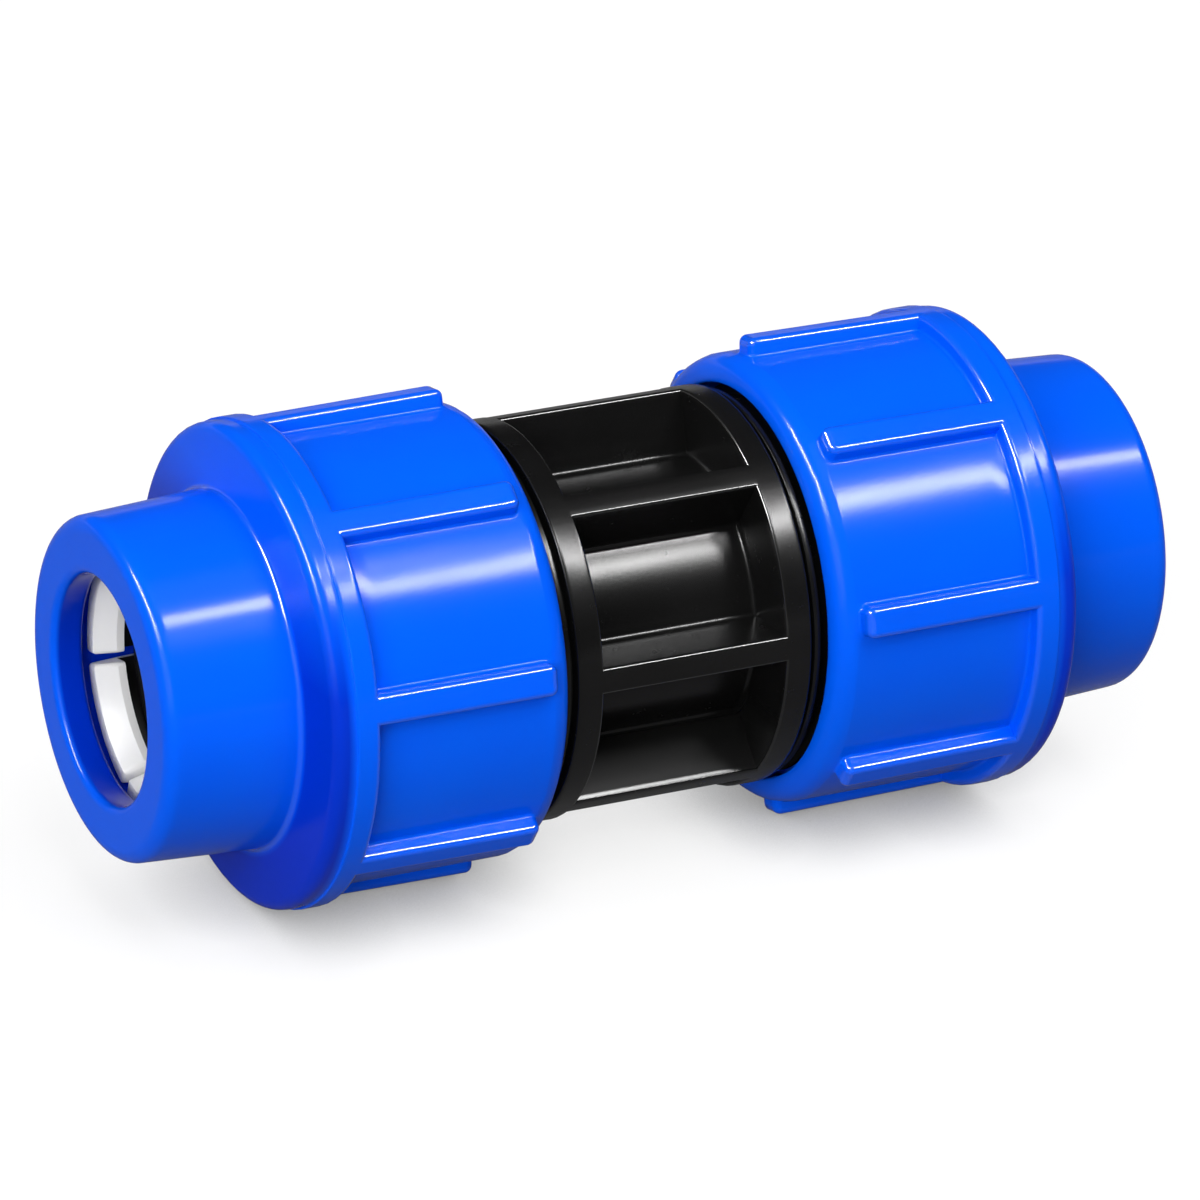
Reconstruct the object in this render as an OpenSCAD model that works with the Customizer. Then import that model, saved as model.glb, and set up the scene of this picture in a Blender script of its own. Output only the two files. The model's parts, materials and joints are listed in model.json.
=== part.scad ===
// Straight compression coupling for plastic pipe, lying on its side.
// X runs along the pipes, Z is up, and the origin is the middle of the coupling.
// Every length is in millimetres. "Across" means along X, away from the middle.

/* [Pipe] */
// Outside diameter of the pipes that the coupling joins
pipe_d = 25; // [20:1:40]
// Radial room between a pipe and its socket
pipe_play = 0.2; // [0.1:0.05:0.4]

/* [Body] */
// Length of each pipe socket, from the stop to the seal chamber
socket_len = 18; // [14:0.5:30]
// Width of the inner ring that both pipes stop against
stop_w = 4; // [2:0.5:8]
// How far the stop reaches into the bore
stop_h = 2.4; // [1:0.1:4]
// Wall of the waist between the flanges
core_wall = 2.3; // [1.5:0.1:3]
// Distance between the two flanges
waist_len = 22; // [14:1:24]
// Thickness of each flange
flange_t = 3.1; // [2:0.1:4.5]
// How far the flanges stand out past the plain shoulder beside the thread
flange_lip = 0.5; // [0.2:0.1:2]
// Width of the groove beside each flange
groove_w = 0.5; // [0.3:0.05:0.7]
// Depth of that groove below the plain shoulder
groove_depth = 0.9; // [0.3:0.1:1.4]
// Width of the plain shoulder between the groove and the thread
shoulder_w = 0.9; // [0.4:0.1:1]
// Wall of the threaded spigots, under the thread
spigot_wall = 3.7; // [2.5:0.1:6]
// Depth of the chamber that holds the seal and the bush
chamber_len = 18.2; // [12:0.1:26]
// Number of ribs round the waist
waist_ribs = 7; // [4:1:10]
// Thickness of the waist ribs
waist_rib_t = 2.9; // [1.5:0.1:4]
// Turn of the first waist rib from straight up, towards the front
waist_rib_turn = -20.4; // [-30:0.1:30]

/* [Nuts] */
// Height of the screw thread above its root
thread_h = 1.5; // [0.8:0.1:2.5]
// Wall of the nut's skirt
nut_wall = 3.05; // [2.5:0.05:5]
// Gap between a flange and the nut's skirt as the coupling is stored
skirt_gap = 1.8; // [1.8:0.1:4]
// How far the collar stands out from the skirt
collar_h = 1.8; // [1.2:0.1:4]
// Width of the collar
collar_w = 2.7; // [1.5:0.1:5]
// Length of the domed shoulder between the collar and the nose
dome_len = 3.3; // [3:0.1:4.5]
// Wall between the dome and the room for the bush
dome_wall = 2.9; // [2:0.1:4]
// Length of the nose
nose_len = 15.1; // [14:0.1:24]
// Wall of the nose at its root
nose_wall = 2.58; // [2:0.02:4]
// Draft of the nose's outside, in degrees
nose_draft = 3; // [0:0.5:4]
// Radius round the nose's outer edge
nose_round = 1.7; // [0.5:0.1:2]
// Thickness of the nose's end wall
mouth_wall = 3.7; // [2.5:0.1:5]
// Radial room between the pipe and the nose's mouth
mouth_play = 0.25; // [0.2:0.05:0.6]
// Number of grip ribs round each nut
nut_ribs = 8; // [4:1:12]
// Width of the grip ribs
nut_rib_w = 3.4; // [2:0.1:5]
// How far the flat rib tops stand out past the collar
nut_rib_proud = 0.2; // [0:0.05:1]
// Distance from the skirt's end to the ribs' free ends
nut_rib_start = 2.6; // [2:0.1:6]
// Turn of the first grip rib from straight up, towards the front
nut_rib_turn = -14; // [-22:0.5:22]

/* [Grip rings] */
// Length of a grip ring
ring_len = 8.4; // [7.5:0.1:9]
// Thickness of a grip ring at its thin end
ring_t = 2.6; // [2:0.1:4]
// Slope of the ring's outside and of the nut's cone, in degrees
cone_slope = 9.5; // [5:0.5:11]
// Length of the bevel that leads the pipe in
ring_bevel_len = 2.4; // [1:0.1:3]
// Height of that bevel
ring_bevel_h = 0.95; // [0.4:0.05:1.2]
// Length of the land that grips the pipe
ring_land_len = 2.2; // [1:0.1:3]
// Thickness of the skirt that reaches back round the bush's nose
ring_skirt_t = 1.8; // [1.2:0.1:2.4]
// Length of the uncut web that joins the jaws behind the slots
ring_web = 2.1; // [1:0.1:4]
// Number of jaws round the ring
ring_jaws = 6; // [3:1:10]
// Width of the slots between the jaws
slot_w = 0.6; // [0.4:0.1:1.5]
// Width of the one slot that splits the ring right through
split_w = 1.1; // [0.6:0.1:3]
// Turn of the split from straight up, towards the front
split_turn = 255; // [0:1:359]

/* [Seals and bushes] */
// Thickness of the seal's round section
seal_wire = 3.9; // [2.5:0.1:5]
// Thickness of the bush's flange
bush_flange_t = 2.3; // [1.5:0.1:4]
// How far the bush's flange stays inside the thread's root
bush_flange_inset = 0.9; // [0.3:0.1:2]
// How far the bush's neck stays inside the grip ring's thick end
bush_neck_inset = 0.35; // [0.2:0.05:1]

/* [Fits] */
// Radial room between the pipe and the seal or the grip ring
bite_play = 0.05; // [0.02:0.01:0.15]
// Radial room between the pipe and the bush
bush_play = 0.3; // [0.1:0.05:0.5]
// Radial room of the seal and the bush in their chamber
seat_play = 0.25; // [0.1:0.05:0.4]
// Room between pieces that are pushed end to end
end_play = 0.2; // [0.1:0.05:0.4]
// Room between pieces that slide or turn past each other
slide_play = 0.3; // [0.2:0.05:0.6]
// Radial room between the nut's skirt and the plain shoulder inside it
skirt_play = 0.35; // [0.25:0.05:0.6]
// Radial room between the nut's thread and the body's thread
thread_play = 0.25; // [0.15:0.05:0.5]
// How far a nut can still be tightened
tighten = 1.5; // [0.5:0.1:1.5]

/* [Hidden] */

$fn = 96;
// Straight steps in each rounded corner of an outline
corner_steps = 5;
// Small edge radii that moulding leaves
edge_round = 0.3;
soft_round = 0.8;
lip_round = 2.4;
dome_round = 2.6;
// Overlap that joins a rib to the wall that it grows from
root_sink = 0.8;
// Height of the faint step between the collar and the dome
dome_step = 0.25;
// Slope of the dome's end face, as its fall in X from the nose out to the collar
dome_fall = 0.8;
// Gap in front of a grip ring, inside the nose
ring_room = 1.4;
// Room left behind a grip ring when the nut is tight
ring_stop_play = 0.5;
// How far a cut through a whole piece runs past it
cut_margin = 5;

// Radii, from the pipe outwards
pipe_r = pipe_d / 2;
socket_r = pipe_r + pipe_play;
stop_r = socket_r - stop_h;
core_r = socket_r + core_wall;
bite_r = pipe_r + bite_play;
bush_r = pipe_r + bush_play;
seal_mid_r = bite_r + seal_wire / 2;
bush_sleeve_r = bite_r + seal_wire;
chamber_r = bush_sleeve_r + seat_play;
spigot_r = chamber_r + spigot_wall;
nut_bore_r = spigot_r + thread_h + thread_play;
shoulder_r = nut_bore_r - skirt_play;
flange_r = shoulder_r + flange_lip;
nut_r = nut_bore_r + nut_wall;
collar_r = nut_r + collar_h;
rib_top_r = collar_r + nut_rib_proud;
mouth_r = pipe_r + mouth_play;

// Places across, from the middle outwards
flange_in = waist_len / 2;
flange_out = flange_in + flange_t;
shoulder_x = flange_out + groove_w;
skirt_x = flange_out + skirt_gap;
chamber_x = stop_w / 2 + socket_len;
spigot_x = chamber_x + chamber_len;
seal_x = chamber_x + end_play / 2 + seal_wire / 2;
bush_x = seal_x + seal_wire / 2 + end_play;
bush_flange_in = spigot_x + end_play;
bush_flange_out = bush_flange_in + bush_flange_t;
nut_floor_x = bush_flange_out + tighten + slide_play;
nose_root_x = nut_floor_x + dome_wall;
dome_x = nose_root_x - dome_len;
collar_x = dome_x - collar_w;
nut_end_x = nose_root_x + nose_len;
mouth_x = nut_end_x - mouth_wall;
ring_front_x = mouth_x - ring_room;
ring_back_x = ring_front_x - ring_len;
land_front_x = ring_front_x - ring_bevel_len;
land_back_x = land_front_x - ring_land_len;
bush_neck_x = ring_back_x - tighten - ring_stop_play;
bush_nose_x = land_back_x - tighten - ring_stop_play;

// The grip ring's outside, and the nut's cone around it
ring_front_r = bite_r + ring_t;
ring_back_r = ring_front_r + ring_len * tan(cone_slope);
function cone_r(x) = ring_front_r + slide_play + (ring_front_x - x) * tan(cone_slope);
nose_root_r = cone_r(nose_root_x) + nose_wall;
nose_tip_r = nose_root_r - nose_len * tan(nose_draft);

// The bush's neck and nose
bush_flange_r = spigot_r - bush_flange_inset;
bush_neck_r = ring_back_r - bush_neck_inset;
ring_pocket_r = ring_back_r - ring_skirt_t;
bush_nose_r = ring_pocket_r - slide_play;

// One rounded corner of an outline, between the points before and after it.
// The radius gives way where the sides are too short for it.
function corner(before, at, after, radius) =
    let (
        a = (before - at) / norm(before - at),
        b = (after - at) / norm(after - at),
        half = acos(max(-1, min(1, a * b))) / 2,
        reach = min(radius / tan(half), 0.48 * min(norm(before - at), norm(after - at))),
        r = reach * tan(half),
        middle = at + (a + b) / norm(a + b) * r / sin(half),
        from = at + a * reach - middle,
        to = at + b * reach - middle,
        start = atan2(from.y, from.x),
        sweep = (atan2(to.y, to.x) - start + 540) % 360 - 180
    )
    [for (i = [0:corner_steps])
        middle + r * [cos(start + sweep * i / corner_steps), sin(start + sweep * i / corner_steps)]];

// A closed outline from [radius, place, corner radius] rows
function rounded(rows) =
    let (n = len(rows), p = [for (row = rows) [row[0], row[1]]])
    [for (i = [0:n - 1])
        each rows[i][2] > 0
            ? corner(p[(i + n - 1) % n], p[i], p[(i + 1) % n], rows[i][2])
            : [p[i]]];

// Turns an outline of [radius, place] round the pipes' axis. Side is 1 for right, -1 for left.
module turned(side, rows) {
    across(side) rotate_extrude() polygon(rounded(rows));
}

// Lays what is drawn along +Z across to one side, with its +X pointing up
module across(side) {
    mirror([side > 0 ? 1 : 0, 0, 0]) rotate([0, -90, 0]) children();
}

module body() {
    color("#1c1c1e") union() {
        rotate([0, -90, 0]) rotate_extrude() polygon(rounded(body_outline()));
        for (i = [0:waist_ribs - 1]) rotate([waist_rib_turn + i * 360 / waist_ribs, 0, 0]) waist_rib();
    }
}

// Half of the body's outline, from the stop out to the spigot's end and back to the waist
function body_half() = [
    [stop_r, stop_w / 2, edge_round],
    [socket_r, stop_w / 2, 0],
    [socket_r, chamber_x, 0],
    [chamber_r, chamber_x, 0],
    [chamber_r, spigot_x, edge_round],
    [spigot_r, spigot_x, soft_round],
    [spigot_r, shoulder_x + shoulder_w, 0],
    [shoulder_r, shoulder_x + shoulder_w, edge_round],
    [shoulder_r, shoulder_x, edge_round / 2],
    [shoulder_r - groove_depth, shoulder_x, 0],
    [shoulder_r - groove_depth, flange_out, 0],
    [flange_r, flange_out, edge_round],
    [flange_r, flange_in, edge_round],
    [core_r, flange_in, soft_round],
];

// The half outline, followed by its mirror image in the opposite order
function body_outline() =
    let (half = body_half(), n = len(half))
    concat(half, [for (i = [n - 1:-1:0]) [half[i][0], -half[i][1], half[i][2]]]);

// One straight rib along the top of the waist, flush with the flanges
module waist_rib() {
    intersection() {
        translate([-flange_in - root_sink, -waist_rib_t / 2, core_r - root_sink])
            cube([waist_len + 2 * root_sink, waist_rib_t, flange_r]);
        rotate([0, 90, 0]) cylinder(r = flange_r, h = 2 * flange_out, center = true);
    }
}

module nut(side) {
    color("#0a50f0") union() {
        turned(side, nut_outline());
        for (i = [0:nut_ribs - 1]) rotate([nut_rib_turn + i * 360 / nut_ribs, 0, 0]) nut_rib(side);
    }
}

// The nut's section: nose, dome and skirt outside, then thread bore, floor and cone inside
function nut_outline() = [
    [mouth_r, nut_end_x, soft_round],
    [nose_tip_r, nut_end_x, nose_round],
    [nose_root_r, nose_root_x, edge_round],
    [collar_r - dome_step, nose_root_x - dome_fall, dome_round],
    [collar_r - dome_step, dome_x, 0],
    [collar_r, dome_x, 0],
    [collar_r, collar_x, edge_round],
    [nut_r, collar_x, soft_round],
    [nut_r, skirt_x, lip_round],
    [nut_bore_r, skirt_x, edge_round],
    [nut_bore_r, nut_floor_x, soft_round],
    [cone_r(nut_floor_x), nut_floor_x, edge_round],
    [cone_r(mouth_x), mouth_x, edge_round],
    [mouth_r, mouth_x, edge_round],
];

// One grip rib along the top of a nut: rounded at its free end, and run into the collar
module nut_rib(side) {
    rib_len = collar_x + collar_w / 2 - skirt_x - nut_rib_start;
    rib_h = rib_top_r - nut_r + root_sink;
    across(side) translate([nut_r - root_sink, 0, skirt_x + nut_rib_start]) intersection() {
        rotate([90, 0, 0]) linear_extrude(nut_rib_w, center = true)
            polygon(rounded([[0, 0, 0], [rib_h, 0, edge_round], [rib_h, rib_len, 0], [0, rib_len, 0]]));
        rotate([0, 90, 0]) linear_extrude(rib_h)
            polygon(rounded([
                [0, -nut_rib_w / 2, soft_round], [0, nut_rib_w / 2, soft_round],
                [-rib_len, nut_rib_w / 2, 0], [-rib_len, -nut_rib_w / 2, 0],
            ]));
    }
}

module grip_ring(side) {
    color("#f2f2f0") difference() {
        turned(side, ring_outline());
        for (i = [0:ring_jaws - 1]) rotate([split_turn + i * 360 / ring_jaws, 0, 0])
            across(side) ring_slot(whole = i == 0);
    }
}

// The ring's section: bevel and land inside, a pocket for the bush behind, the cone outside
function ring_outline() = [
    [bite_r, land_back_x, edge_round],
    [bite_r, land_front_x, 0],
    [bite_r + ring_bevel_h, ring_front_x, soft_round],
    [ring_front_r, ring_front_x, soft_round],
    [ring_back_r, ring_back_x, edge_round],
    [ring_pocket_r, ring_back_x, edge_round],
    [ring_pocket_r, land_back_x, 0],
];

// The slot on top of a ring. All slots are open in front, and one splits the ring right through.
module ring_slot(whole) {
    width = whole ? split_w : slot_w;
    web = whole ? -cut_margin : ring_web;
    translate([0, -width / 2, ring_back_x + web])
        cube([ring_back_r + cut_margin, width, ring_len + cut_margin - web]);
}

module bush(side) {
    color("#232326") turned(side, [
        [bush_r, bush_x, edge_round],
        [bush_sleeve_r, bush_x, edge_round],
        [bush_sleeve_r, bush_flange_in, 0],
        [bush_flange_r, bush_flange_in, edge_round],
        [bush_flange_r, bush_flange_out, edge_round],
        [bush_neck_r, bush_flange_out, 0],
        [bush_neck_r, bush_neck_x, edge_round],
        [bush_nose_r, bush_neck_x, 0],
        [bush_nose_r, bush_nose_x, edge_round],
        [bush_r, bush_nose_x, edge_round],
    ]);
}

module o_ring(side) {
    color("#0d0d0d") across(side) translate([0, 0, seal_x])
        rotate_extrude() translate([seal_mid_r, 0]) circle(d = seal_wire, $fn = 32);
}

module left_nut() nut(-1);
module right_nut() nut(1);
module left_grip_ring() grip_ring(-1);
module right_grip_ring() grip_ring(1);
module left_bush() bush(-1);
module right_bush() bush(1);
module left_o_ring() o_ring(-1);
module right_o_ring() o_ring(1);

body();
left_nut();
right_nut();
left_grip_ring();
right_grip_ring();
left_bush();
right_bush();
left_o_ring();
right_o_ring();
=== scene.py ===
"""A straight compression coupling for plastic pipe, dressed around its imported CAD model."""

import json
import math

import bmesh
import bpy
from bpy.props import FloatProperty, FloatVectorProperty, IntProperty, PointerProperty
from mathutils import Matrix, Vector

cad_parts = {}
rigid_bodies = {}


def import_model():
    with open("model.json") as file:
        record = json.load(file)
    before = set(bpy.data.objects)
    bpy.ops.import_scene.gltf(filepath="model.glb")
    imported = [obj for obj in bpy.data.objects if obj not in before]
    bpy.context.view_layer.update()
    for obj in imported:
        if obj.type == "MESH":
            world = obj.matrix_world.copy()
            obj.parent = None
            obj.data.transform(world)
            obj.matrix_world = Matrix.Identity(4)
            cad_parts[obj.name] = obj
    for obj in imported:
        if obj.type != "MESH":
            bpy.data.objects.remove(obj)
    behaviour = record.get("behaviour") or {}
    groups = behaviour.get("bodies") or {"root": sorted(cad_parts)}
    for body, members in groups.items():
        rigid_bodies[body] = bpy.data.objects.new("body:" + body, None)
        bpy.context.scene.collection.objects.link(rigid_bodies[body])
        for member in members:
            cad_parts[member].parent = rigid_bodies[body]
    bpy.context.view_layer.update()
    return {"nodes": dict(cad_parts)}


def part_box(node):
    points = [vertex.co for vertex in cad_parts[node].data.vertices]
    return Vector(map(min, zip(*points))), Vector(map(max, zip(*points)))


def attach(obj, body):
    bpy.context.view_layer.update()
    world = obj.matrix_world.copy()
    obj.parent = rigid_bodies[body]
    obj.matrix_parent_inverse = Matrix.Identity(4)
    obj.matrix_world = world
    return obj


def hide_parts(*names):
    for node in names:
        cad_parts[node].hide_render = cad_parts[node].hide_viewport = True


for leftover in list(bpy.data.objects):
    bpy.data.objects.remove(leftover)
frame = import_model()

bl_info = {
    "name": "Compression Coupling",
    "version": (1, 0, 0),
    "blender": (4, 5, 0),
    "location": "View3D > Sidebar > Coupling",
    "description": "Builds a straight compression coupling and its studio around the packed CAD model",
    "category": "Object",
}

MM = 0.001
# A corner of an outline gets 3 steps below the first of these radii, 5 below the second, and 9 above
SMALL_ROUND = 0.35 * MM
MIDDLE_ROUND = 1.0 * MM
# The same for the rounding and the fillet of a rib, in degrees
QUARTER = (18, 36, 54, 72, 90)
# How close to a rounding the guard rows stand that keep the long faces' shading flat
GUARD = 0.25 * MM
# The same on a rib's wall, as shares of how far it leans out
WALL_GUARDS = (0.08, 0.92)
# Vertices closer than this are one
WELD = 2e-6
# Columns along one jaw of a grip ring, sectors round a bush, and rows along a screw thread
JAW_STEPS = 14
BUSH_SECTORS = 12
THREAD_ROWS = 320
# Patterns of the moulded plastics, in waves a metre, and the depth of their relief
PATCHES = 55.0
WAVES = 190.0
FLOW = 330.0
SCUFFS = 420.0
GRAIN = 2600.0
RELIEF = 0.03 * MM
# Half the side of the studio floor
FLOOR_HALF = 6.0
# Sides of a nut and of each other end piece: 1 for right, -1 for left
SIDES = {"left": -1, "right": 1}

nut_low, nut_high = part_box("right_nut")
body_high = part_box("body")[1]
ring_low, ring_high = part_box("right_grip_ring")
bush_low, bush_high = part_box("right_bush")

# Each lamp: its two ends seen from the coupling, its distance, height, radiance and use. An end is given
# by how far it lies to the right, and by its turn in degrees from straight up to the front. A "body" lamp
# lights the matt part of the plastics, and a "gloss" lamp is only mirrored in them.
LAMPS = (
    ("gloss_strip_left", (0.20, 26.0), (0.31, 23.0), 1.3, 0.12, 118.0, "gloss"),
    ("gloss_strip_middle", (0.34, 37.0), (0.50, 26.0), 1.3, 0.12, 101.0, "gloss"),
    ("gloss_strip_right", (0.54, 22.0), (0.66, 22.0), 1.3, 0.12, 94.0, "gloss"),
    ("gloss_panel_end", (-0.82, 20.0), (-0.50, 30.0), 1.3, 0.25, 24.0, "gloss"),
    ("key_softbox", (-0.3, 20.0), (0.48, 20.0), 1.5, 1.2, 3.5, "body"),
    ("gloss_panel_left", (-0.68, -34.0), (-0.67, 25.0), 1.3, 0.13, 170.0, "gloss"),
    ("fill_softbox", (-0.92, 50.0), (-0.42, 62.0), 1.5, 0.8, 6.3, "body"),
)


def length(name, description, default):
    """A length that a user can change, in metres."""
    return FloatProperty(name=name, description=description, default=default, min=0.0, unit="LENGTH",
                         precision=5)


def angle(name, description, degrees):
    """An angle that a user can change."""
    return FloatProperty(name=name, description=description, default=math.radians(degrees), unit="ROTATION")


def colour(name, description, default):
    """A linear colour that a user can change."""
    return FloatVectorProperty(name=name, description=description, default=default, size=3,
                               min=0.0, max=1.0, subtype="COLOR")


class NutSizes(bpy.types.PropertyGroup):
    """Sizes of a nut. Places are measured from the coupling's middle, and radii from its axis."""

    ribs: IntProperty(name="Ribs", description="Grip ribs round the nut", default=8, min=4, max=12)
    rib_turn: angle("Rib turn", "Turn of the first rib from straight up, towards the front", -14)
    rib_width: length("Rib width", "Width of a grip rib", 3.4 * MM)
    rib_start: length("Rib start", "Place of the ribs' free ends", 18.5 * MM)
    rib_top: length("Rib top", "Height of a rib's flat top above the axis, at its free end", 27.2 * MM)
    rib_corner: length("Rib corner", "Radius of a rib's free end, from above and from the side", 0.95 * MM)
    edge: length("Edge", "Radius of the ribs' and the collar's edges", 0.6 * MM)
    wall_draft: length("Wall draft", "How far a rib's wall leans out over its height", 0.04 * MM)
    root: length("Root", "Radius of the fillet at the foot of the ribs and the collar", 0.35 * MM)
    skirt_start: length("Skirt start", "Place of the skirt's open end", nut_low.x)
    skirt_radius: length("Skirt radius", "Radius of the skirt between the ribs", 25.2 * MM)
    lip: length("Lip", "Radius of the broad rounding at the skirt's open end", 2.4 * MM)
    collar_start: length("Collar start", "Place of the collar's face above the skirt", 39.4 * MM)
    collar_end: length("Collar end", "Place of the faint step between collar and dome", 42.1 * MM)
    collar_radius: length("Collar radius", "Radius of the collar", 27.0 * MM)
    step: length("Step", "Height of the faint step between collar and dome", 0.25 * MM)
    step_round: length("Step rounding", "Radius of that step's edges", 0.12 * MM)
    dome: length("Dome", "Radius of the dome's rounding", 2.6 * MM)
    dome_fall: length("Dome fall", "How far the dome's face leans back towards the collar", 0.8 * MM)
    nose_start: length("Nose start", "Place of the nose's root", 45.4 * MM)
    nose_root: length("Nose root", "Radius of the nose at its root", 19.70 * MM)
    nose_fillet: length("Nose fillet", "Radius of the fillet round the nose's root", 0.6 * MM)
    nose_tip: length("Nose tip", "Radius of the nose at its end", 18.91 * MM)
    nose_round: length("Nose rounding", "Radius of the nose's outer edge", 1.7 * MM)
    nose_end: length("Nose end", "Place of the nose's end face", nut_high.x)
    mouth_radius: length("Mouth radius", "Radius of the opening for the pipe", 12.75 * MM)
    mouth_round: length("Mouth rounding", "Radius of the mouth's outer edge", 0.8 * MM)
    mouth_back: length("Mouth back", "Place of the mouth wall's inner face", 56.8 * MM)
    cone_front: length("Cone front", "Radius of the inner cone behind the mouth", 15.22 * MM)
    cone_back: length("Cone back", "Radius of the inner cone at the floor", 17.61 * MM)
    floor: length("Floor", "Place of the floor at the bottom of the thread", 42.5 * MM)
    bore: length("Bore", "Radius of the thread's root inside the nut", 22.15 * MM)


class BodySizes(bpy.types.PropertyGroup):
    """Sizes of the body between the nuts"""

    ribs: IntProperty(name="Ribs", description="Ribs round the waist", default=7, min=4, max=10)
    rib_turn: angle("Rib turn", "Turn of the first rib from straight up, towards the front", -20.4)
    rib_width: length("Rib width", "Thickness of a waist rib", 2.9 * MM)
    edge: length("Edge", "Radius of the ribs' and the flanges' edges", 0.3 * MM)
    wall_draft: length("Wall draft", "How far a pocket's wall leans over its height", 0.12 * MM)
    root: length("Root", "Radius of the fillet round a pocket's floor", 0.6 * MM)
    core_radius: length("Core radius", "Radius of the waist between the ribs", 15.0 * MM)
    flange_start: length("Flange start", "Place of the flange's face at the waist", 11.0 * MM)
    flange_end: length("Flange end", "Place of the flange's outer face", 14.1 * MM)
    flange_radius: length("Flange radius", "Radius of the flanges and the ribs' tops", body_high.y)
    groove_end: length("Groove end", "Place where the groove beside the flange ends", 14.6 * MM)
    groove_radius: length("Groove radius", "Radius of the groove's floor", 20.9 * MM)
    groove_round: length("Groove rounding", "Radius round the groove's floor", 0.12 * MM)
    shoulder_end: length("Shoulder end", "Place where the plain shoulder ends", 15.5 * MM)
    shoulder_radius: length("Shoulder radius", "Radius of the plain shoulder", 21.8 * MM)
    shoulder_round: length("Shoulder rounding", "Radius of the shoulder's edge at the groove", 0.15 * MM)
    spigot_end: length("Spigot end", "Place of the spigot's end", body_high.x)
    spigot_radius: length("Spigot radius", "Radius at the root of the thread", 20.4 * MM)
    spigot_round: length("Spigot rounding", "Radius of the spigot's outer edge", 0.8 * MM)
    chamber_start: length("Chamber start", "Place of the seal chamber's floor", 20.0 * MM)
    chamber_radius: length("Chamber radius", "Radius of the seal chamber", 16.7 * MM)
    socket_radius: length("Socket radius", "Radius of the pipe socket", 12.7 * MM)
    stop_radius: length("Stop radius", "Radius inside the pipe stop", 10.3 * MM)
    stop_end: length("Stop end", "Place of the stop's face", 2.0 * MM)


class ThreadSizes(bpy.types.PropertyGroup):
    """Sizes of the screw thread"""

    pitch: length("Pitch", "Travel in one turn", 4.0 * MM)
    height: length("Height", "Height of the thread above its root", 1.5 * MM)
    foot: length("Foot", "Width of the thread at its root", 2.1 * MM)
    crest: length("Crest", "Width of the thread at its crest", 0.9 * MM)
    bevel: length("Bevel", "Size of the bevel along the crest", 0.12 * MM)
    male_start: length("Male start", "Place where the body's thread begins", 16.9 * MM)
    male_end: length("Male end", "Place where the body's thread ends", 37.4 * MM)
    female_start: length("Female start", "Place where the nut's thread begins", 18.6 * MM)
    female_end: length("Female end", "Place where the nut's thread ends", 41.0 * MM)


class RingSizes(bpy.types.PropertyGroup):
    """Sizes of a grip ring"""

    jaws: IntProperty(name="Jaws", description="Jaws round the ring", default=6, min=3, max=10)
    split_turn: angle("Split turn", "Turn of the through slot from straight up, towards the front", 255)
    slot_width: length("Slot width", "Width of the slots between the jaws", 0.9 * MM)
    split_width: length("Split width", "Width of the slot that splits the ring through", 1.1 * MM)
    front: length("Front", "Place of the ring's thin end", ring_high.x)
    back: length("Back", "Place of the ring's thick end", ring_low.x)
    land_front: length("Land front", "Place where the lead-in bevel meets the land", 53.0 * MM)
    land_back: length("Land back", "Place of the land's back edge", 52.1 * MM)
    web: length("Web", "Length of the uncut web behind the slots", 2.1 * MM)
    bite_radius: length("Bite radius", "Radius of the land that grips the pipe", 12.55 * MM)
    bevel_height: length("Bevel height", "Height of the lead-in bevel", 0.95 * MM)
    front_radius: length("Front radius", "Outer radius at the thin end", 15.15 * MM)
    back_radius: length("Back radius", "Outer radius at the thick end", 16.556 * MM)
    pocket_radius: length("Pocket radius", "Radius of the pocket behind the land", 14.756 * MM)
    slot_round: length("Slot rounding", "Radius of the jaws' edges along the slots", 0.45 * MM)
    edge: length("Edge", "Radius of the ring's other edges", 0.2 * MM)


class BushSizes(bpy.types.PropertyGroup):
    """Sizes of a bush, whose nose reaches into the grip ring"""

    bore: length("Bore", "Radius of the bush's bore", 12.8 * MM)
    start: length("Start", "Place of the sleeve's end at the seal", bush_low.x)
    sleeve_radius: length("Sleeve radius", "Radius of the sleeve in the seal chamber", 16.45 * MM)
    flange_start: length("Flange start", "Place of the flange's face at the spigot", 38.4 * MM)
    flange_end: length("Flange end", "Place of the flange's outer face", 40.7 * MM)
    flange_radius: length("Flange radius", "Radius of the flange", bush_high.y)
    neck_radius: length("Neck radius", "Radius of the neck behind the grip ring", 16.206 * MM)
    neck_end: length("Neck end", "Place where the neck ends", 45.0 * MM)
    nose_radius: length("Nose radius", "Radius of the nose inside the grip ring", 14.456 * MM)
    nose_end: length("Nose end", "Place of the nose's end", 50.4 * MM)
    edge: length("Edge", "Radius of the bush's edges", 0.3 * MM)


class Colours(bpy.types.PropertyGroup):
    """Colours of the plastics and the studio"""

    nut: colour("Nut", "Blue of the nuts", (0.0, 0.115, 0.93))
    nut_deep: colour("Nut, deep", "Slightly deeper blue where the plastic flowed last", (0.0, 0.100, 0.91))
    # The recess blue is painted shade, laid low on the dome and inside the mouth
    nut_recess: colour("Nut, recess", "Deepest blue, low on the dome and in the mouth", (0.0, 0.031, 0.58))
    body: colour("Body", "Black of the body", (0.003, 0.003, 0.003))
    body_worn: colour("Body, worn", "Greyer black of the moulding's dull patches", (0.006, 0.006, 0.006))
    bush: colour("Bush", "Black of the bushes", (0.006, 0.006, 0.006))
    ring: colour("Ring", "White of the grip rings", (0.95, 0.95, 0.94))
    ring_warm: colour("Ring, warm", "Warmer white where the ring is thick", (0.90, 0.895, 0.87))
    seal: colour("Seal", "Black of the seals", (0.01, 0.01, 0.01))
    floor: colour("Floor", "Pale studio floor", (0.2, 0.199, 0.197))


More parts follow.
